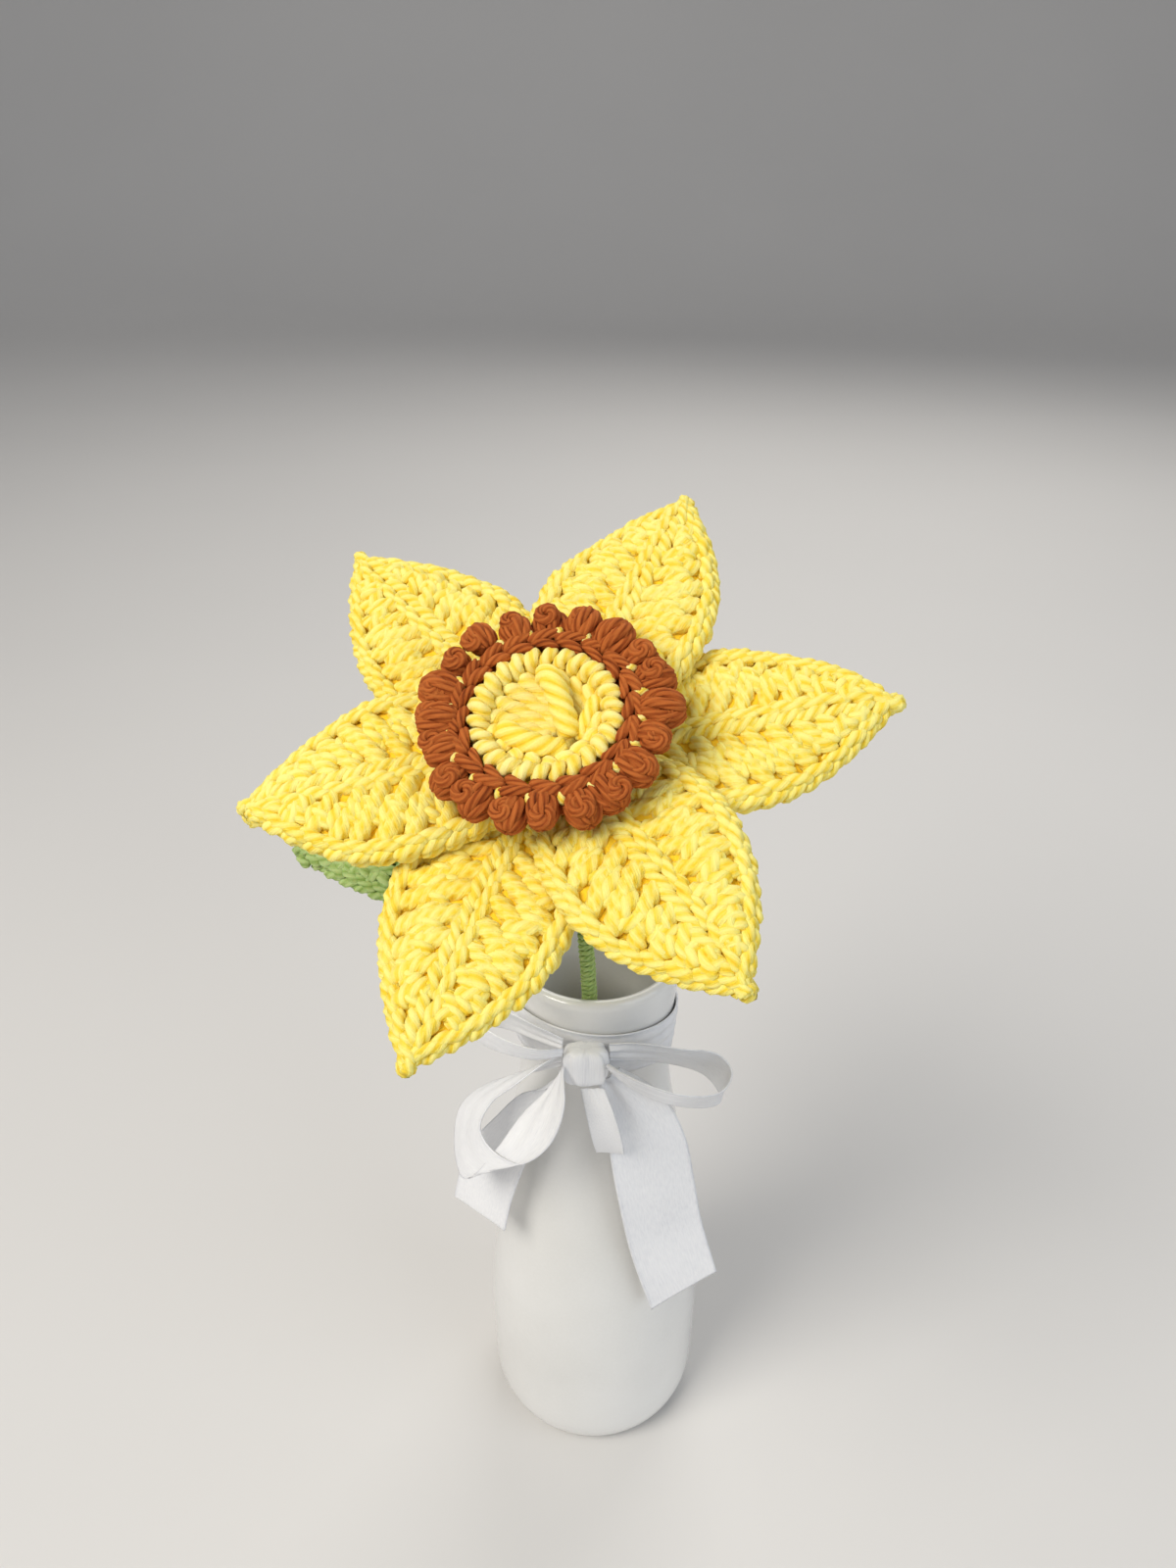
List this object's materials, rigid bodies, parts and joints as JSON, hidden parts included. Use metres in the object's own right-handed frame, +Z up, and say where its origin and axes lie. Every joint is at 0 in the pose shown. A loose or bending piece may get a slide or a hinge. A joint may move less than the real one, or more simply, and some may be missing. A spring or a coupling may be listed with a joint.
{
  "type": "crocheted daffodil in a bottle vase with a ribbon bow",
  "caption": "A yarn daffodil with broad petals, a frilled cup and a leaf on a wrapped wire stem, standing in a slim glazed bottle vase tied with a satin bow.",
  "frame": {"origin": "centre of the vase's foot, on the surface it stands on", "axes": "+Z up along the vase, -Y the side that the flower and the bow face, +X to the right seen from there"},
  "size_m": [0.1095, 0.0958, 0.2356],
  "materials": {
    "glazed_ceramic": "smooth glossy white glaze on ceramic, opaque",
    "yellow_yarn": "soft plied cotton yarn, crocheted",
    "rust_yarn": "soft plied cotton yarn, crocheted bobbles",
    "green_yarn": "soft plied cotton yarn, wound and crocheted",
    "satin_ribbon": "white satin, plain",
    "steel_wire": "drawn floral wire"
  },
  "bodies": {
    "root": {"vase": "glazed_ceramic", "petal_left": "yellow_yarn", "petal_lower_left": "yellow_yarn", "petal_lower_right": "yellow_yarn", "petal_right": "yellow_yarn", "petal_upper_right": "yellow_yarn", "petal_upper_left": "yellow_yarn", "corona_cup": "yellow_yarn", "stamen_1": "yellow_yarn", "stamen_2": "yellow_yarn", "stamen_3": "yellow_yarn", "corona_frill": "rust_yarn", "calyx": "green_yarn", "stem_yarn": "green_yarn", "leaf": "green_yarn", "stem_wire": "steel_wire", "ribbon_band": "satin_ribbon", "ribbon_knot": "satin_ribbon", "bow_loop_lower_left": "satin_ribbon", "bow_loop_upper_left": "satin_ribbon", "bow_loop_right": "satin_ribbon", "bow_fold_middle": "satin_ribbon", "ribbon_tail_left": "satin_ribbon", "ribbon_tail_right": "satin_ribbon"}
  },
  "joints": []
}
